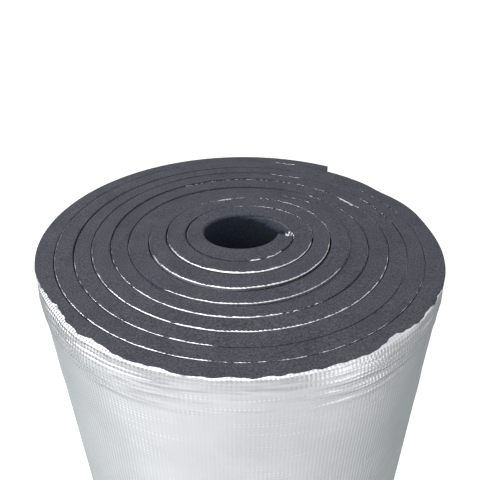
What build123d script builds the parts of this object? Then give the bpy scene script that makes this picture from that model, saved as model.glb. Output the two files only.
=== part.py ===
"""A roll of foil-faced foam insulation, standing on end.

One long sheet, dark closed-cell foam with an embossed foil facing bonded to its outer side, is wound on itself
into almost nine turns around an open bore. The winding runs clockwise as seen from above, and the foil is outside.

The winding is a spiral of tangent quarter arcs. Their centres go round the corners of a small square whose side is
a quarter of the pitch, so every turn lies parallel to the one inside it and all walls are true cylinders.
"""
import os
from itertools import pairwise
from math import ceil, cos, floor, radians, sin, tan

from build123d import *

# Driving dimensions, in millimetres and degrees.
SHEET_WIDTH = 1000.0  # the roll's height as it stands
FOAM_THICKNESS = 25.0
FOIL_THICKNESS = 0.5  # over the embossing
AIR_GAP = 0.5  # slack between a turn's foil and the next turn's foam
BORE_RADIUS = 49.0  # at the sheet's inner end
FULL_TURNS = 8  # whole turns between the two end angles
INNER_END_ANGLE = 17.0  # clockwise from +X, seen from above
OUTER_END_ANGLE = 305.0  # clockwise from +X, seen from above
CUT_SLANT = 25.0  # how far winding shears the sheet's two cut ends off square
SEAM_DEPTH = 15.0  # how far down each end the turns are apart
FOIL_SETBACK = 1.0  # the foil's lower edge is trimmed this far above the foam's
COIL_TURNS = 2.93  # the loose inner coil, counted from +X, that leans in the roll
COIL_LEAN = 2.5  # lean of the inner coil's top

PITCH = FOAM_THICKNESS + FOIL_THICKNESS + AIR_GAP
INNER_END = INNER_END_ANGLE / 360
OUTER_END = FULL_TURNS + OUTER_END_ANGLE / 360
TOP_SEAM = SHEET_WIDTH - SEAM_DEPTH
HEADROOM = SHEET_WIDTH  # how far the trimming columns reach past the roll's top


def direction(turns):
    """The unit vector that points away from the roll's axis after so many turns."""
    angle = radians(360 * turns)
    return Vector(cos(angle), -sin(angle))


def arc_centre(quarter):
    """The centre of a quarter arc: a corner of the small square around the origin."""
    half_side = PITCH / 8
    corners = [(-1, -1), (-1, 1), (1, 1), (1, -1)]
    x, y = corners[quarter % 4]
    return Vector(x * half_side, y * half_side)


def spiral_radius(turns):
    """The radius, about its own centre, of the foam's inner face after so many turns."""
    return BORE_RADIUS + PITCH * floor(4 * turns) / 4


def spiral_point(turns, offset):
    """A point of the winding, at an offset outward from the foam's inner face."""
    centre = arc_centre(floor(4 * turns))
    return centre + direction(turns) * (spiral_radius(turns) + offset)


def cut_turns(turns, offset):
    """Where a slanted cut, which meets the foam's inner face after so many turns, meets another offset."""
    lag = offset * tan(radians(CUT_SLANT))
    return turns - lag / (radians(360) * (spiral_radius(turns) + offset))


def spiral_arcs(offset, start, end):
    """The tangent arcs of one face of the sheet, between two places along it."""
    joints = [quarter / 4 for quarter in range(floor(4 * start) + 1, ceil(4 * end))]
    return [
        ThreePointArc(spiral_point(a, offset), spiral_point((a + b) / 2, offset), spiral_point(b, offset))
        for a, b in pairwise([start, *joints, end])
    ]


def closed_face(arcs):
    """The face inside a chain of arcs, with a straight edge from its last point to its first."""
    return make_face([*arcs, Line(arcs[-1] @ 1, arcs[0] @ 0)])


def sheet_section(inner, outer, start, end):
    """One layer of the sheet seen from its edge, between two offsets, with both its ends cut on the slant."""
    inside = spiral_arcs(inner, cut_turns(start, inner), cut_turns(end, inner))
    outside = spiral_arcs(outer, cut_turns(start, outer), cut_turns(end, outer))
    ends = [Line(inside[0] @ 0, outside[0] @ 0), Line(inside[-1] @ 1, outside[-1] @ 1)]
    return make_face([*inside, *outside, *ends])


def between(face, low, high):
    """The prism on a face between two heights."""
    return extrude(Pos(0, 0, low) * face, amount=high - low)


def lap_start():
    """Where the outermost turn begins: under the sheet's outer end, on the turn inside it."""
    return cut_turns(OUTER_END, FOAM_THICKNESS - PITCH) - 1


def roll_outline():
    """The roll seen from above, without its bore: the outermost turn and the step at the sheet's outer end."""
    return closed_face(
        spiral_arcs(FOAM_THICKNESS, lap_start(), cut_turns(OUTER_END, FOAM_THICKNESS))
    )


def bore_outline():
    """The open middle: the first turn's inner face and the step at the sheet's inner end."""
    return closed_face(spiral_arcs(0, INNER_END, cut_turns(INNER_END, PITCH) + 1))


def coil_column():
    """The space that the inner coil takes, bounded in the air gap around it."""
    in_the_gap = FOAM_THICKNESS + FOIL_THICKNESS + AIR_GAP / 2
    outline = closed_face(spiral_arcs(in_the_gap, COIL_TURNS - 2, COIL_TURNS - 1))
    return between(outline, 0, SHEET_WIDTH + HEADROOM)


def coil_plane():
    """The leaning plane of the inner coil's top, level with the roll's top where the coil ends."""
    along = direction(COIL_TURNS)
    centre = arc_centre(floor(4 * COIL_TURNS))
    level = Plane((centre.X, centre.Y, SHEET_WIDTH), x_dir=tuple(along), z_dir=(0, 0, 1))
    return level.rotated((COIL_LEAN, 0, 0))


def trimmed(ribbon):
    """A ribbon that reaches past the roll's top, cut to the roll's top and to the inner coil's leaning top."""
    column = coil_column()
    coil = split(ribbon & column, bisect_by=coil_plane(), keep=Keep.BOTTOM)
    rest = split(ribbon - column, bisect_by=Plane.XY.offset(SHEET_WIDTH), keep=Keep.BOTTOM)
    return coil + rest


def foam_roll():
    """The foam as one solid with its bore, its turns apart at both ends."""
    section = sheet_section(0, FOAM_THICKNESS, INNER_END, OUTER_END)
    middle = between(roll_outline() - bore_outline(), SEAM_DEPTH, TOP_SEAM)
    lower = between(section, 0, SEAM_DEPTH)
    upper = trimmed(between(section, TOP_SEAM, SHEET_WIDTH + SEAM_DEPTH))
    return lower + middle + upper


def foil_facing():
    """The foil: a wrap on the outermost turn, and the edge that shows between the turns at the top."""
    outer = FOAM_THICKNESS + FOIL_THICKNESS
    section = sheet_section(FOAM_THICKNESS, outer, INNER_END, OUTER_END)
    wrap = sheet_section(FOAM_THICKNESS, outer, OUTER_END - 1, OUTER_END) - roll_outline()
    upper = trimmed(between(section, TOP_SEAM, SHEET_WIDTH + SEAM_DEPTH))
    return between(wrap, FOIL_SETBACK, TOP_SEAM) + upper


def main():
    foam, foil = foam_roll(), foil_facing()
    middle = (foam + foil).bounding_box().center()
    stand = Pos(-middle.X, -middle.Y, 0)
    os.makedirs("parts", exist_ok=True)
    export_step(stand * foam, "parts/foam_roll.step")
    export_step(stand * foil, "parts/foil_facing.step")


main()
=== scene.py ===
"""Looks of a foil-faced foam insulation roll that stands on end.

The sheet is one long strip, wound clockwise as seen from above. A place on it is given in turns from the +X
direction. Every wall follows one spiral, which is pushed in or out and lifted a little, quarter by quarter.
"""
from math import pi, radians

import bpy
import numpy as np
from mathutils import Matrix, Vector

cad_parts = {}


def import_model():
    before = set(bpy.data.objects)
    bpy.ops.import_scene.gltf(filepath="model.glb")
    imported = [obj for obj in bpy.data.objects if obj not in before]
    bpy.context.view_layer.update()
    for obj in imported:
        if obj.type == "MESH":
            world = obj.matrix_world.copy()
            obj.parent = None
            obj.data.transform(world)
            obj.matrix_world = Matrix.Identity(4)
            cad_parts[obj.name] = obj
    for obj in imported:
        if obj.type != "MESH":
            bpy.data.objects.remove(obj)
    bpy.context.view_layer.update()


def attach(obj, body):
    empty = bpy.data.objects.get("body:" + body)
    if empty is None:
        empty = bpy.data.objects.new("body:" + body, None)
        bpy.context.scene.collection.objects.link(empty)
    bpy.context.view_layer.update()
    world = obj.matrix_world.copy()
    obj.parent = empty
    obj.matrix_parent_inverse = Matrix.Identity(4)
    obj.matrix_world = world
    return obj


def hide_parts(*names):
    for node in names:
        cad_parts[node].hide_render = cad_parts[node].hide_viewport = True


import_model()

# The sheet and the winding, in metres and in turns.
HEIGHT = 1.0
PITCH = 0.026
FOAM = 0.025
FOIL = 0.0005
BORE_RADIUS = 0.0457  # of the spiral at +X, seen as if it started there
AXIS = Vector((0.0065, -0.0065, 0))
START = 19 / 360
END = 8 + 305 / 360
STEPS_PER_TURN = 200
EMBOSSING = 0.0044  # distance between the foil's embossed dots

# The photograph's camera, from the winding's axis and the roll's top, in metres, and its tilt in degrees.
CAMERA_ASIDE = -0.0051
CAMERA_BACK = 0.6111
CAMERA_ABOVE_TOP = 0.3515
CAMERA_TILT = 30.85
FOCAL_LENGTH = 479.1  # in pixels of the photograph
PHOTO_WIDTH = 480
SENSOR_WIDTH = 36

# How far each quarter of each turn's inner face is pushed out of the even spiral, in millimetres.
# One row is one turn, and its values are at the front, left, back and right of the roll. They are rounded
# readings of the photograph's seams by a fitting program, some of them changed since.
PUSH = (
    (5, -1, -11, 0),
    (10.5, 0, -5, 2),
    (12, 2.5, -1, 1),
    (16.8, 1, -5.5, 1),
    (15, 4, -2.5, 2),
    (10.2, 3, 3.5, 4),
    (8.5, 3, 3, 2),
    (6, 0.5, -0.5, -1.5),
    (2.5, 0, 5, -4),
    (-1, 0, 0.5, -4),
    (-1, 0, 0.5, -4),
)
# How far the top edge of each quarter stands above the roll's even top, in millimetres, in the same order.
LIFT = (
    (7.5, 2.5, 0.5, 5),
    (6.8, 2.5, 0.5, 5.5),
    (6.0, 2.5, -1.0, 5.5),
    (2.2, -2.0, -4.5, 1.5),
    (-1.2, -2.0, -2.2, 0.0),
    (-1.0, 0.0, -0.5, 0.5),
    (-0.7, -0.3, 0.8, 0.0),
    (-0.6, 0.6, 1.8, -0.2),
    (0.0, 0.8, 2.0, 0.0),
    (0.0, 0.0, 0.0, 0.0),
)
MM = 0.001
rng = np.random.default_rng(7)


def quarter_curve(rows, t):
    """A smooth curve through the rows' values, one for each quarter turn from the front of the first turn."""
    values = np.array(rows, float).ravel()
    at = (np.asarray(t) - 0.25) * 4
    i = np.clip(np.floor(at).astype(int), 0, len(values) - 2)
    x = np.clip(at - i, 0, 1)
    a, b = values[np.clip(i - 1, 0, None)], values[i]
    c, d = values[i + 1], values[np.clip(i + 2, None, len(values) - 1)]
    return MM * (b + x * (c - a + x * (2 * a - 5 * b + 4 * c - d + x * (3 * (b - c) + d - a))) / 2)


class Ripple:
    """A smooth random curve of about unit height: a sum of waves around one wavelength."""

    def __init__(self, wavelength, waves=9):
        self.k = 2 * pi / (wavelength * rng.uniform(0.6, 1.8, waves))
        self.phase = rng.uniform(0, 2 * pi, waves)
        self.gain = (2 / waves) ** 0.5

    def __call__(self, x):
        x = np.asarray(x, float)[..., None]
        return self.gain * np.sin(self.k * x + self.phase).sum(-1)


def arcs(t, table, soft, column=3):
    """The greatest value of the arcs around a place. An arc is (turn, from degree, to degree, values)."""
    out = np.zeros_like(t)
    for row in table:
        a, b = row[0] + row[1] / 360, row[0] + row[2] / 360
        inside = np.clip((t - a) / soft + 0.5, 0, 1) * np.clip((b - t) / soft + 0.5, 0, 1)
        out = np.maximum(out, inside * row[column])
    return out


def direction(t):
    return np.stack([np.cos(2 * pi * t), -np.sin(2 * pi * t)], -1)


def along(t):
    """The length of sheet wound up to a place, in metres."""
    return 2 * pi * (BORE_RADIUS * t + PITCH * t * t / 2)


# Where a seam stands open, as arcs of (turns inside it, from, to, millimetres).
OPEN = (
    (1, 15, 55, 1.2), (1, 105, 215, 1.6),
    (2, 10, 185, 1.5),
    (3, 10, 90, 2.0), (3, 150, 250, 1.4),
    (4, 150, 290, 0.5),
    (5, -20, 60, 0.8), (5, 60, 170, 0.5),
    (6, 10, 180, 0.7), (6, 180, 215, 1.0), (6, 325, 365, 1.0),
    (7, 155, 200, 1.0), (7, 90, 150, 0.6),
    (8, 35, 175, 0.7),
)
# Where the foil's edge curls over the foam and shows: the same, then the curl's radius, and how broken it is.
CURLED = (
    (1, 52, 69, 0.9, 0.6), (1, 76, 84, 1.2, 0.2), (1, 262, 330, 3.0, 0.6), (1, 330, 362, 1.8, 0.3),
    (2, 18, 66, 1.2, 0.1), (2, 64, 146, 1.9, 0.0), (2, 144, 158, 2.6, 0.0), (2, 234, 242, 3.0, 0.8),
    (2, 246, 262, 5.6, 0.3), (2, 262, 270, 3.0, 0.6), (2, 285, 300, 2.0, 0.9), (2, 300, 362, 2.6, 0.4),
    (3, 18, 60, 1.1, 0.3), (3, 58, 150, 1.4, 0.2), (3, 300, 318, 2.0, 0.9),
    (4, 38, 124, 0.7, 0.3), (4, 312, 345, 1.5, 0.8),
    (5, 60, 80, 0.9, 0.8), (5, 78, 174, 1.3, 0.0), (5, 240, 300, 2.4, 0.75), (5, 300, 322, 2.4, 0.6),
    (5, 323, 335, 6.4, 0.1), (5, 339, 355, 2.0, 0.5),
    (6, 10, 60, 1.5, 0.1), (6, 58, 96, 1.2, 0.4), (6, 92, 176, 1.2, 0.0), (6, 285, 296, 3.6, 0.1),
    (6, 330, 352, 1.5, 0.9),
    (7, 97, 146, 0.7, 0.3), (7, 148, 161, 1.2, 0.5), (7, 325, 345, 1.8, 0.8),
    (8, 20, 100, 0.55, 0.35), (8, 96, 113, 0.8, 0.2), (8, 110, 162, 1.2, 0.1),
    (8, 160, 186, 1.3, 0.2), (8, 285, 290, 3.2, 0.1),
)
SQUARE = 0.7 * MM  # the rounding of a cut foam edge with no foil over it
SUNK = 1.4 * MM  # how far a foil edge that doesn't show lies below the foam's edge
FOIL_DRAWN = 0.3 * MM  # thickness of the foil's meshes
CURL_SOFT = 0.012  # how softly a curl begins and ends, in turns
BEADS, BREAKS, WANDER, THICK = Ripple(0.012), Ripple(0.007), Ripple(0.09), Ripple(0.035)


def inner_radius(t):
    return BORE_RADIUS + PITCH * t + quarter_curve(PUSH, t)


def top(t):
    return HEIGHT + quarter_curve(LIFT, t)


def seam(t):
    """The gap outside the foil of the turn that ends at t, where t counts the turns inside the seam."""
    return 0.25 * MM + MM * arcs(t, OPEN, 0.03)


def outer_radius(t):
    """The foam's outer face: it leaves room for the foil and the seam before the next turn."""
    last = np.clip((t - (END - 1)) / 0.02, 0, 1)
    swell = sum(out * np.exp(-(around(t, centre) / half) ** 2) for centre, half, out in SWELLS)
    return inner_radius(t + 1) - FOIL - seam(t + 1) * (1 - last) + swell * MM * last


RIM_WAVE, RIM_CRUMPLE, BODY_WAVE, BODY_ROLL = Ripple(0.045), Ripple(0.02), Ripple(0.16), Ripple(0.3)
# Where the pressed rim bites deeper into the foam, or less: (degrees, half width in degrees, millimetres).
BITES = (
    (52, 6, 4.4), (139, 7, 4.2), (122, 6, 2.0), (101, 7, -1.4), (83, 8, 0.8), (72, 4, -1.0), (32, 8, 0.9),
)
PRESSED, CUT = 4.1, 0.5  # the rounding of the pressed rim and of the cut rim, in millimetres


def on_last_turn(t):
    return np.clip((t - (END - 1)) / 0.03, 0, 1)


def aside(t):
    """1 where the outer rim is only cut, at the back and sides, and 0 where it is pressed, at the front."""
    degrees = (t * 360 + 180) % 360 - 180
    return np.clip((np.abs(degrees - 91) - 60) / 14, 0, 1)


def rim_rounding(t):
    """How far the top outer corner is rounded: by the foil's curl, and more at the outermost turn's front."""
    degrees = (t * 360) % 360
    bites = sum(deep * np.exp(-((degrees - centre) / half) ** 2) for centre, half, deep in BITES)
    uneven = np.interp(degrees, (50, 75, 105, 120), (0.3, 0.7, 0.7, 1.2))
    pressed = PRESSED + uneven * (0.35 * RIM_WAVE(along(t)) + 0.2 * RIM_CRUMPLE(along(t))) + bites
    outside = CUT + (pressed - CUT) * (1 - aside(t)) ** 1.5
    curl = np.maximum(SQUARE, MM * arcs(t + 1, CURLED, CURL_SOFT))
    return curl * (1 - on_last_turn(t)) + MM * outside * on_last_turn(t)


def bore_rounding(t):
    """The soft inner corner of the bore, which is the first turn's inner side."""
    inside = np.clip((1.06 - t) / 0.04, 0, 1)
    return SQUARE + MM * inside * (0.8 + 2.5 * np.clip(1 - np.abs(t - 0.6) / 0.3, 0, 1))


def skin_and_shade(t, depth):
    """How much the sheet's inner face shows its dark skin, and not the lighter cut, with painted shade:
    darkest deep in the bore, below a top band left light as where the wall was lit. In the seams it darkens
    over the first 6 mm down.
    """
    bore = np.clip((1.06 - t) / 0.01, 0, 1)
    # Painted light: down to this depth the bore's wall keeps the lighter cut colour, for the band that was
    # lit; below it the wall is painted darker with depth.
    lit_depth = np.interp(t, (0.72, 0.8, 0.86, 0.92, 0.96, 1.0, 1.05), (0.5, 7, 12, 14, 11, 7, 2)) * MM
    soft = np.interp(t, (0.2, 0.5, 0.75, 0.9, 1.0), (2, 8, 5, 5, 3)) * MM
    shaded = 0.1 + 0.2 * np.clip(depth / (3 * MM), 0, 1)
    deepest = np.interp(t, (0.62, 0.9), (0.8, 1))
    in_bore = np.clip(((depth - lit_depth) / soft + 0.4) * deepest, shaded, deepest)
    in_seam = np.clip(depth / (6 * MM), 0.1, 0.5)
    return bore * in_bore + (1 - bore) * in_seam


# Hollows of the outer wall, and where it bulges: (degrees, half width in degrees, metres below the top, half
# height in metres, millimetres in).
HOLLOWS = (
    (150, 15, 0.0, 0.3, 3.4), (154, 24, 0.26, 0.13, 5.0), (160, 24, 0.4, 0.1, 10.0),
    (120, 26, 0.5, 0.12, 3.0), (26, 30, 0.5, 0.5, -2.6), (300, 30, 0.4, 0.2, 4.0), (230, 30, 0.7, 0.2, 3.0),
)
# Where the whole outermost turn stands out, or in, at its rim: (degrees, half width, millimetres out).
SWELLS = ((344, 9, 3.6), (329, 5, -3.0), (14, 20, 2.2))


def around(t, centre):
    """The angle between a place and a direction, in degrees."""
    return (t * 360 - centre + 180) % 360 - 180


def wall_hollow(t, depth):
    """How far the outermost turn's wall lies in at a depth below its top. The cut rim stands over it."""
    deep = 1.9 * MM * aside(t) * (1 - np.exp(-depth / (3 * MM)))
    for centre, half, down, tall, much in HOLLOWS:
        deep = deep + much * MM * np.exp(-(around(t, centre) / half) ** 2 - ((depth - down) / tall) ** 2)
    return deep * on_last_turn(t)


def bore_slope(t, depth):
    """How far the bore's wall leans in below its top, beside the sheet's inner end."""
    beside = np.clip((t - 0.78) / 0.2, 0, 1) * np.clip((1.075 - t) / 0.015, 0, 1)
    return 14 * MM * beside * (1 - np.exp(-depth / (14 * MM)))


def shear(t, u):
    """Places with the slant of the sheet's cut ends: the outer side lags, a little at the inner end."""
    lean_in, lean_out = np.tan(radians(4)), np.tan(radians(25))
    near = lean_in * np.clip(1 - (t - START) / 0.06, 0, 1) + lean_out * np.clip(1 - (END - t) / 0.03, 0, 1)
    return t - near * u * FOAM / (2 * pi * (inner_radius(t) + u * FOAM))


def new_mesh(name, rings, sheet, mark):
    """A mesh of a grid of closed rings, joined ring to ring, with end caps. sheet holds each point's place on
    the flat sheet, along and up, in metres. mark says how much skin the foam shows there, with painted shade
    in the bore and a painted highlight line; on the foil it says how deep the emboss is, and how strongly its
    grooves are painted darker and its crests lighter."""
    n, m = rings.shape[:2]
    index = np.arange(n * m).reshape(n, m)
    after = np.roll(index, -1, 1)
    quads = np.stack([index[:-1], index[1:], after[1:], after[:-1]], -1).reshape(-1, 4)
    faces = quads.tolist() + [index[0].tolist(), index[-1][::-1].tolist()]
    mesh = bpy.data.meshes.new(name)
    mesh.from_pydata(rings.reshape(-1, 3).tolist(), [], faces)
    mesh.validate()
    mesh.shade_smooth()
    mesh.set_sharp_from_angle(angle=radians(50))
    layer = mesh.attributes.new("sheet", "FLOAT_VECTOR", "POINT")
    places = np.pad(sheet.reshape(-1, 2), ((0, 0), (0, 1)))
    layer.data.foreach_set("vector", places.astype(np.float32).ravel())
    layer = mesh.attributes.new("mark", "FLOAT", "POINT")
    layer.data.foreach_set("value", np.broadcast_to(mark, (n, m)).astype(np.float32).ravel())
    piece = bpy.data.objects.new(name, mesh)
    bpy.context.scene.collection.objects.link(piece)
    return piece


def point_grid(t, r, z):
    flat = direction(t) * r[..., None] + np.array(AXIS[:2])
    return np.concatenate([flat, z[..., None]], -1)


def foam_sheet():
    """The whole foam sheet, wound up: one ring of points round its section at each step along it."""
    steps = int((END - START) * STEPS_PER_TURN)
    t = np.linspace(START, END, steps)[:, None]
    depths = np.array([0.0006, 0.002, 0.005, 0.012, 0.03, 0.08, 0.15, 0.2, 0.26, 0.31, 0.36, 0.42, 0.5, 0.7])
    inner_depths = np.array([0.0006, 0.003, 0.007, 0.012, 0.018, 0.028, 0.08, 0.2, 0.31])
    across = np.array([0.06, 0.2, 0.35, 0.5, 0.65, 0.8, 0.94])
    corner = np.radians([15, 45, 75])
    rounding, soft = rim_rounding(t), bore_rounding(t)
    curve = np.linspace(0, 1, 7)[None, :] * pi / 2
    inner, outer, head = inner_radius(t), outer_radius(t), top(t)
    inside_r, inside_z = inner - bore_slope(t, inner_depths), head - soft - inner_depths
    left_r, left_z = inner + soft * (1 - np.cos(corner)), head - soft * (1 - np.sin(corner))
    flat_in, flat_out = inner + soft, outer - rounding - wall_hollow(t, 0)
    face_r = flat_in + (flat_out - flat_in) * across
    face_z = head + 0.25 * MM * WANDER(along(t) + across * 0.05)
    right_r = outer - rounding * (1 - np.sin(curve)) - wall_hollow(t, rounding * (1 - np.cos(curve)))
    right_z = head - rounding * (1 - np.cos(curve))
    outside_r, outside_z = outer - wall_hollow(t, depths + rounding), head - rounding - depths
    foot_r = outer + (inner - outer) * np.linspace(0.04, 0.96, 5)
    foot_z = 0 * foot_r
    low_r, low_z = outer - wall_hollow(t, 0.99), SQUARE + 0 * outer
    r = np.concatenate([inside_r[:, ::-1], left_r, face_r, right_r, outside_r, low_r, foot_r, inner], 1)
    z = np.concatenate([inside_z[:, ::-1], left_z, face_z, right_z, outside_z, low_z, foot_z, low_z], 1)
    tt = shear(t + 0 * r, np.clip((r - inner) / FOAM, 0, 1))
    mark = np.full(r.shape, 0.5)
    face_start = len(inner_depths) + len(corner)
    face_stop = face_start + len(across) + curve.size
    below_corner = slice(len(inner_depths) - 2, len(inner_depths) - 1)
    mark[:, :len(inner_depths)] = skin_and_shade(t, soft + inner_depths)[:, ::-1]
    # Painted highlight: at the back and right of the bore, the ring just below its rounded rim is lightened
    # into a lit edge line.
    mark[:, below_corner] -= 0.3 * np.clip((t - 0.7) / 0.08, 0, 1) * np.clip((1.06 - t) / 0.02, 0, 1)
    mark[:, len(inner_depths):face_start] = skin_and_shade(t, head - left_z)
    mark[:, face_start:face_stop] = 0.1
    mark[[0, -1]] = 0.15
    return new_mesh("foam_sheet", point_grid(tt, r, z), np.stack([along(tt) + 0 * r, z], -1), mark)


def foil_edge():
    """The foil between the turns: a ribbon on the foam's outer face. Its top edge curls over or is sunk."""
    first, last = START - 0.004, END - 1 + 0.01
    step = 1.2 * MM
    length = np.arange(along(first), along(last), step)
    t = (np.sqrt(BORE_RADIUS**2 + PITCH * length / pi) - BORE_RADIUS)[:, None] / PITCH
    s = along(t)
    curl, broken = arcs(t + 1, CURLED, CURL_SOFT), arcs(t + 1, CURLED, CURL_SOFT, 4)
    shows = np.clip(curl / 0.7, 0, 1)
    pearls = np.cos(2 * pi * s / EMBOSSING) * (0.06 + 0.5 * broken * (1 - broken)) + 0.06 * THICK(s)
    torn = np.clip(0.5 + 1.4 * BREAKS(s) + 1.2 * BEADS(s), 0, 1)
    whole = 1 - np.clip(2 * broken - 1, 0, 1) * (1 - torn)
    crumpled = np.clip((curl - 4) / 2, 0, 1)
    reach = (0.06 + 0.9 * shows * whole * (0.78 + 0.22 * crumpled + 0.1 * BEADS(s) + pearls)) * pi / 2
    rounding = rim_rounding(np.clip(t, START, None))
    head = top(t) - SUNK * (1 - shows * whole)
    outer = outer_radius(np.clip(t, START, None)) + 0.08 * MM
    wall = np.array([0.012, 0.0025])
    lift = 0.12 * MM * (1 + WANDER(s * 3)) * shows
    curve = np.linspace(0, 1, 4)[None, :]

    def side(off):
        angle = reach * curve
        r = outer - rounding * (1 - np.cos(angle)) + (off + lift * curve) * np.cos(angle)
        z = head - rounding * (1 - np.sin(angle)) + (off + lift * curve) * np.sin(angle)
        z = z + 1.7 * MM * crumpled * np.sin(pi * curve)
        return np.concatenate([outer + off + 0 * wall, r], 1), np.concatenate([head - rounding - wall, z], 1)

    (r_out, z_out), (r_in, z_in) = side(FOIL_DRAWN), side(0.0)
    foot = 0.6 + 0 * outer
    keep = [5, 3, 1]
    r = np.concatenate([outer + FOIL_DRAWN, r_out, r_in[:, keep], outer], 1)
    z = np.concatenate([foot, z_out, z_in[:, keep], foot], 1)
    tt = shear(t + 0 * r, np.ones_like(r))
    return new_mesh("foil_edge", point_grid(tt, r, z), np.stack([along(tt), z], -1), 0.4)


# Creases in the outer wrap: (degrees clockwise from +X, half width in degrees, depth below the top at their
# middle and how much more a radian before it, in millimetres, and millimetres out).
CREASES = (
    (142, 24, 9, 0, 0.9), (136, 32, 15, 2, 1.2), (134, 36, 22, 2, 1.4), (140, 32, 28, 3, 1.4),
    (130, 38, 34, 0, 1.7), (142, 28, 41, 4, 1.3), (128, 36, 48, 2, 1.4), (104, 18, 19, 4, 0.7),
    (84, 20, 26, -3, 0.6),
    (56, 30, 12, 8, 1.4), (60, 30, 20, 11, 1.7), (54, 32, 27, 14, 1.6), (62, 32, 36, 16, 1.4),
    (50, 30, 44, 18, 1.3), (58, 26, 56, 20, 1.0), (92, 24, 44, -4, 0.5), (34, 18, 20, 14, 1.3),
)


def foil_wrap():
    """The foil on the outermost turn, from its lower edge to where it curls over the pressed rim."""
    first, last = END - 1 - 0.004, END
    t = np.linspace(first, last, 440)[:, None]
    s = along(t)
    rounding = rim_rounding(np.clip(t, END - 1 + 0.031, None))
    outer, head = outer_radius(np.clip(t, END - 1 + 0.021, None)), top(t) - 1.2 * MM * aside(t)
    curl = np.linspace(0, 1, 9)[None, :-1]
    wide = np.interp((t * 360) % 360, (20, 44, 53, 62, 72, 90, 98, 112, 126),
                     (0.45, 0.5, 0.75, 0.6, 0.7, 0.6, 0.55, 0.65, 0.85))
    reach = (0.1 + (wide + 0.08 * RIM_WAVE(s + 1) + 0.05 * RIM_CRUMPLE(s)) * (1 - aside(t))) * pi / 2
    angle = reach * (1 - curl)
    crumple = RIM_CRUMPLE(s + angle * 0.03) + RIM_CRUMPLE(1.6 * s - angle * 0.05)
    off = 0.45 * MM + np.clip(0.22 * MM * crumple, -0.4 * MM, None) * (1 - curl) * (1 - aside(t))
    curl_z = head - rounding * (1 - np.sin(angle)) + off * np.sin(angle)
    sunk = wall_hollow(t, np.clip(head - curl_z, 0, None))
    curl_r = outer - rounding * (1 - np.cos(angle)) + off * np.cos(angle) - sunk
    lowest = 0.94
    creased, smooth = np.arange(0, 0.05, 0.0009), np.arange(0.05, 0.15, 0.004)
    drop = np.concatenate([creased, smooth, np.linspace(0.16, lowest, 24)])
    wall_z = head - rounding - drop * (head - rounding - 0.001) / lowest
    depth = head - wall_z
    degrees = (t * 360) % 360
    gathered = 1 - np.exp(-np.abs(degrees - 172) / 16) - 0.5 * np.exp(-np.abs(degrees - 10) / 16)
    dents = 0
    for centre, half, down, fall, deep in CREASES:
        spread = np.clip(1 - ((degrees - centre) / half) ** 2, 0, 1) ** 0.5
        line = (down + fall * np.radians(centre - degrees)) * gathered * MM + 0.0009 * BODY_WAVE(2 * s + down)
        away = (depth - line) / np.where(depth < line, 0.0022, 0.0055)
        dents = dents - deep * MM * spread * np.exp(-np.abs(away) ** 1.5)
    slack = 1.0 * MM + 0.5 * MM * BODY_WAVE(s + depth * 0.4) + 0.4 * MM * BODY_ROLL(depth * 2 + s)
    slack = np.clip(slack, 0.3 * MM, None) * np.clip((depth - rounding) / (0.01 + 0.08 * aside(t)), 0, 1)
    dents = dents * np.interp(degrees, (138, 156), (1, 0.35))
    loose = 2.4 * MM * np.exp(-((degrees - 119) / 17) ** 2 - ((depth - 0.028) / 0.022) ** 2)
    loose = loose * np.clip((depth - rounding) / 0.006, 0, 1)
    wall_r = outer + 0.4 * MM - wall_hollow(t, depth) + loose + np.clip(slack - dents, -0.2 * MM, None)
    back = slice(None, None, -8)
    under_r = curl_r[:, ::-1] - FOIL_DRAWN * np.cos(angle[:, ::-1])
    under_z = curl_z[:, ::-1] - FOIL_DRAWN * np.sin(angle[:, ::-1])
    r = np.concatenate([curl_r, wall_r, wall_r[:, back] - FOIL_DRAWN, under_r], 1)
    z = np.concatenate([curl_z, wall_z, wall_z[:, back], under_z], 1)
    over = head - rounding * (1 - angle)
    up = np.concatenate([over, wall_z, wall_z[:, back], over[:, ::-1]], 1)
    tt = shear(t + 0 * r, np.ones_like(r))
    # mark: how deep the emboss is, and how strongly its grooves are painted darker and its crests lighter. At
    # the pressed rim on the left it is raised, which breaks up the rim's bright highlight and dims it with
    # painted shade.
    turned = np.interp(degrees, (0, 20, 60, 80, 105, 125, 200, 230, 360),
                       (0.6, 0.7, 0.5, 0.2, 0.2, 0.9, 1, 0.6, 0.6))
    rim = np.clip(1.2 - (head - z) / (6 * MM), 0, 1) * (1 - aside(t))
    rim_emboss_and_shade = np.interp(degrees, (100, 115, 150, 170), (0.6, 1.1, 1.1, 0.8))
    mark = turned + (rim_emboss_and_shade - turned) * rim
    return new_mesh("foil_wrap", point_grid(tt, r, z), np.stack([along(tt), up], -1), mark)


def foil_end():
    """The foil's torn inner end, crumpled over the corner of the sheet's cut end."""
    across, down = np.linspace(0, 1, 18), np.linspace(0, 1, 20)[:, None]
    crumple, fold = Ripple(0.3), Ripple(0.45)
    reach = 15 * MM * (1 - 0.5 * down) * (0.9 + 0.1 * crumple(down * 3))
    r = inner_radius(START) + FOAM - 0.5 * MM - reach * across
    z = top(START) + 2.6 * MM - 20 * MM * down + 1.6 * MM * fold(across * 2 + down)
    bulge = 2.4 * MM * crumple(across + 2 * down) * np.sin(pi * across)
    out = 1.8 * MM + bulge + 0.9 * MM * fold(down * 2 - across)
    out = np.clip(out, 0.15 * MM, None)
    t = START + 0.006 - np.concatenate([out, out[:, ::-1] - 0.25 * MM], 1) / (2 * pi * 0.07)
    r, z = np.concatenate([r, r[:, ::-1]], 1), np.concatenate([z, z[:, ::-1]], 1)
    return new_mesh("foil_end", point_grid(t, r, z), np.stack([along(t) + r, z], -1), 0.3)


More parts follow.
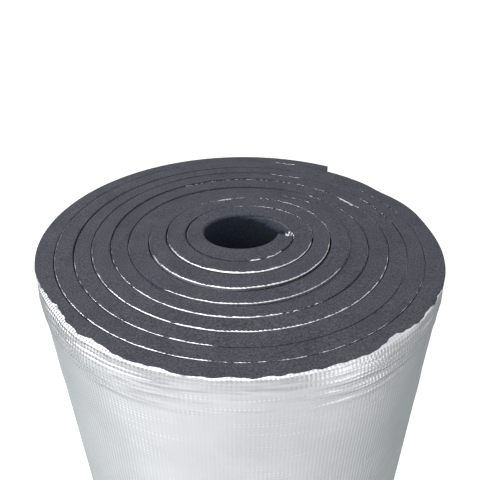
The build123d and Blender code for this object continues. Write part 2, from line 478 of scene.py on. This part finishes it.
def material(name):
    made = bpy.data.materials.new(name)
    made.use_nodes = True
    tree = made.node_tree
    return made, tree, tree.nodes["Principled BSDF"]


def node(tree, kind, **values):
    """A new node, with its settings by attribute name and its inputs by socket name."""
    made = tree.nodes.new(kind)
    for key, value in values.items():
        if hasattr(made, key):
            setattr(made, key, value)
        else:
            made.inputs[key.replace("_", " ")].default_value = value
    return made


def math(tree, operation, a, b=None):
    made = node(tree, "ShaderNodeMath", operation=operation)
    for socket, value in zip(made.inputs, (a, b)):
        if value is None:
            continue
        if isinstance(value, (int, float)):
            socket.default_value = value
        else:
            tree.links.new(value, socket)
    return made.outputs[0]


def ramp(tree, fac, stops):
    made = node(tree, "ShaderNodeValToRGB")
    elements = made.color_ramp.elements
    while len(elements) < len(stops):
        elements.new(0.5)
    for element, (place, colour) in zip(elements, stops):
        element.position = place
        element.color = (*colour, 1)
    tree.links.new(fac, made.inputs["Fac"])
    return made.outputs["Color"]


def grey(value):
    return (value, value, value)


def multiply(tree, a, b):
    mixed = node(tree, "ShaderNodeMix", data_type="RGBA", blend_type="MULTIPLY")
    mixed.inputs["Factor"].default_value = 1.0
    tree.links.new(a, mixed.inputs[6])
    tree.links.new(b, mixed.inputs[7])
    return mixed.outputs[2]


def foam_material(name):
    """Closed-cell foam: its cut cells are lighter and darker. Its skin, where marked, is darker and bluer,
    and the mark also paints a highlight line at 0 and painted shade deep in the bore towards 1.
    """
    made, tree, shader = material(name)
    place = node(tree, "ShaderNodeTexCoord").outputs["Object"]
    cells = node(tree, "ShaderNodeTexVoronoi", Scale=600.0)
    fine = node(tree, "ShaderNodeTexNoise", Scale=470.0, Detail=3.0, Roughness=0.7)
    broad = node(tree, "ShaderNodeTexNoise", Scale=22.0, Detail=4.0, Roughness=0.6)
    for texture in (cells, fine, broad):
        tree.links.new(place, texture.inputs["Vector"])
    speckle = ramp(tree, fine.outputs["Fac"], [(0.34, (0.032, 0.033, 0.043)), (0.5, (0.060, 0.063, 0.079)),
                                               (0.66, (0.105, 0.109, 0.133))])
    patch = ramp(tree, broad.outputs["Fac"], [(0.3, grey(0.86)), (0.7, grey(1.12))])
    # Skin colour with painted light: mark 0 is a painted highlight line, the blue at 0.8 is the skin's own
    # colour, and the near-black at 1 adds painted shade deep in the bore.
    skin_shade_and_highlight = ramp(tree, node(tree, "ShaderNodeAttribute", attribute_name="mark").outputs["Fac"],
                [(0.0, grey(1.8)), (0.1, grey(1)), (0.8, (0.28, 0.40, 0.54)), (1.0, (0.10, 0.12, 0.15))])
    tree.links.new(multiply(tree, multiply(tree, speckle, patch), skin_shade_and_highlight), shader.inputs["Base Color"])
    height = math(tree, "ADD", fine.outputs["Fac"], math(tree, "MULTIPLY", cells.outputs["Distance"], 0.5))
    bump = node(tree, "ShaderNodeBump", Strength=0.5, Distance=0.0005)
    tree.links.new(height, bump.inputs["Height"])
    tree.links.new(bump.outputs["Normal"], shader.inputs["Normal"])
    shader.inputs["Roughness"].default_value = 0.85
    shader.inputs["Specular IOR Level"].default_value = 0.3
    return made


def foil_material():
    """Embossed aluminium foil: a square grid of small pillows, faintly wrinkled, with painted light in its
    colour:
    its grooves are painted darker and its crests lighter, and glints are painted on crests in scattered rows.
    """
    made, tree, shader = material("embossed_foil")
    place = node(tree, "ShaderNodeAttribute", attribute_name="sheet").outputs["Vector"]
    split = node(tree, "ShaderNodeSeparateXYZ")
    tree.links.new(place, split.inputs[0])
    rate = 2 * pi / EMBOSSING
    waves = [math(tree, "COSINE", math(tree, "MULTIPLY", split.outputs[i], rate)) for i in (0, 1)]
    dots = math(tree, "MULTIPLY", math(tree, "ADD", *waves), 0.25)
    world_place = node(tree, "ShaderNodeTexCoord").outputs["Object"]
    wrinkle = node(tree, "ShaderNodeTexNoise", Scale=60.0, Detail=5.0, Roughness=0.55)
    smudge = node(tree, "ShaderNodeTexNoise", Scale=12.0, Detail=3.0, Roughness=0.5)
    for texture in (wrinkle, smudge):
        tree.links.new(world_place, texture.inputs["Vector"])
    mark = node(tree, "ShaderNodeAttribute", attribute_name="mark").outputs["Fac"]
    rim_emboss_and_shade = math(tree, "MULTIPLY", dots, mark)
    height = math(tree, "ADD", rim_emboss_and_shade, math(tree, "MULTIPLY", wrinkle.outputs["Fac"], 0.5))
    bump = node(tree, "ShaderNodeBump", Strength=0.9, Distance=0.0009)
    tree.links.new(height, bump.inputs["Height"])
    tree.links.new(bump.outputs["Normal"], shader.inputs["Normal"])
    # Painted glints: in scattered rows along the sheet, the crests of the emboss are painted brighter, as
    # where they catch a lamp.
    stretch = node(tree, "ShaderNodeVectorMath", operation="MULTIPLY")
    stretch.inputs[1].default_value = (14, 130, 1)
    tree.links.new(place, stretch.inputs[0])
    rows = node(tree, "ShaderNodeTexNoise", Scale=1.0, Detail=1.0, Roughness=0.5)
    tree.links.new(stretch.outputs[0], rows.inputs["Vector"])
    glint_rows = ramp(tree, rows.outputs["Fac"], [(0.54, grey(0.0)), (0.7, grey(1.0))])
    crest_glint = ramp(tree, math(tree, "ADD", dots, 0.5),
                 [(0.0, grey(0.94)), (0.6, grey(1.0)), (1.0, grey(1.3))])
    glint = node(tree, "ShaderNodeMix", data_type="RGBA")
    tree.links.new(glint_rows, glint.inputs["Factor"])
    glint.inputs[6].default_value = (1, 1, 1, 1)
    tree.links.new(crest_glint, glint.inputs[7])
    # Painted shade and highlight: the emboss's grooves are painted darker and its crests lighter, as strongly
    # as the mark squared.
    groove_shade_and_highlight = ramp(tree, math(tree, "ADD", dots, 0.5),
                  [(0.0, grey(0.45)), (0.4, grey(0.93)), (1.0, grey(1.16))])
    grid = node(tree, "ShaderNodeMix", data_type="RGBA")
    tree.links.new(math(tree, "MULTIPLY", mark, mark), grid.inputs["Factor"])
    grid.inputs[6].default_value = (1, 1, 1, 1)
    tree.links.new(groove_shade_and_highlight, grid.inputs[7])
    cloud = ramp(tree, smudge.outputs["Fac"], [(0.3, (0.71, 0.72, 0.745)), (0.7, (0.79, 0.80, 0.82))])
    # The colour: the painted glints and the painted shade of the grooves, times the foil's own uneven tone.
    painted_glints_and_shade = multiply(tree, glint.outputs[2], grid.outputs[2])
    tree.links.new(multiply(tree, painted_glints_and_shade, cloud), shader.inputs["Base Color"])
    shader.inputs["Metallic"].default_value = 1.0
    shader.inputs["Roughness"].default_value = 0.34
    # Painted reflection: a dark, slightly green edge tint dims the foil at grazing angles, as its sides
    # reflected dim, green surroundings.
    shader.inputs["Specular Tint"].default_value = (0.45, 0.50, 0.49, 1)
    return made


def stage():
    """A pale floor that looks white to the camera, and still takes the roll's shadow."""
    bpy.ops.mesh.primitive_plane_add(size=60, location=(0, 0, 0))
    floor = bpy.context.object
    floor.name = "floor"
    made, tree, shader = material("floor_white")
    shader.inputs["Base Color"].default_value = (0.9, 0.9, 0.9, 1)
    shader.inputs["Roughness"].default_value = 0.9
    shader.inputs["Specular IOR Level"].default_value = 0.1
    path = node(tree, "ShaderNodeLightPath")
    glow = math(tree, "MULTIPLY", path.outputs["Is Camera Ray"], 0.7)
    tree.links.new(glow, shader.inputs["Emission Strength"])
    shader.inputs["Emission Color"].default_value = (1, 1, 1, 1)
    floor.data.materials.append(made)


def world():
    """An even white studio, dimmer in its light than it looks to the camera."""
    scene_world = bpy.data.worlds.new("studio")
    bpy.context.scene.world = scene_world
    scene_world.use_nodes = True
    tree = scene_world.node_tree
    path = node(tree, "ShaderNodeLightPath")
    mirrored = math(tree, "MULTIPLY", path.outputs["Is Glossy Ray"], 0.75)
    seen = math(tree, "ADD", path.outputs["Is Camera Ray"], mirrored)
    strength = math(tree, "ADD", 0.42, math(tree, "MULTIPLY", seen, 0.58))
    tree.links.new(strength, tree.nodes["Background"].inputs["Strength"])
    tree.nodes["Background"].inputs["Color"].default_value = (1, 1, 1, 1)


def softbox(name, place, aim, size, power):
    """A square lamp at a place, turned to another, with its side in metres and its power in watts."""
    light = bpy.data.lights.new(name, "AREA")
    light.energy, light.size = power, size
    lamp = bpy.data.objects.new(name, light)
    lamp.location = place
    lamp.rotation_euler = (Vector(aim) - Vector(place)).to_track_quat("-Z", "Y").to_euler()
    bpy.context.scene.collection.objects.link(lamp)


def camera():
    """The photograph's view: a hand-held camera close to the roll and above its top."""
    made = bpy.data.cameras.new("camera")
    made.sensor_width = SENSOR_WIDTH
    made.lens = SENSOR_WIDTH * FOCAL_LENGTH / PHOTO_WIDTH
    view = bpy.data.objects.new("camera", made)
    view.location = Vector((CAMERA_ASIDE, -CAMERA_BACK, HEIGHT + CAMERA_ABOVE_TOP)) + AXIS
    view.rotation_euler = (radians(90 - CAMERA_TILT), 0, 0)
    bpy.context.scene.collection.objects.link(view)
    bpy.context.scene.camera = view


def dress(piece, finish, slot_name, *nodes):
    """A piece's finish, its place under the root body, and the model parts it stands in for, which are
    hidden.
    """
    piece.data.materials.append(finish)
    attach(piece, "root")
    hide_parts(*nodes)


foam_finish, foil_finish = foam_material("cut_foam"), foil_material()
foam = foam_sheet()
dress(foam, foam_finish, "foam", "foam_roll")
dress(foil_wrap(), foil_finish, "foil", "foil_facing")
dress(foil_edge(), foil_finish, "foil", "foil_facing")
dress(foil_end(), foil_finish, "foil", "foil_facing")
stage()
world()
softbox("key", (-1.05, -0.6, 2.3), (-0.1, 0, 1.0), 2.8, 39)
softbox("spark", (0.6, -0.9, 2.4), (0, -0.2, 1.0), 0.5, 2)
softbox("front", (-0.7, -2.5, 1.9), (0, 0, 0.7), 1.8, 11)
softbox("bounce", (-1.5, -0.6, 1.2), (-1.5, -0.6, 0), 1.0, 11)
softbox("side", (1.6, -1.5, 0.55), (0, 0, 0.6), 0.8, 3)
camera()
bpy.context.scene.view_settings.view_transform = "Standard"
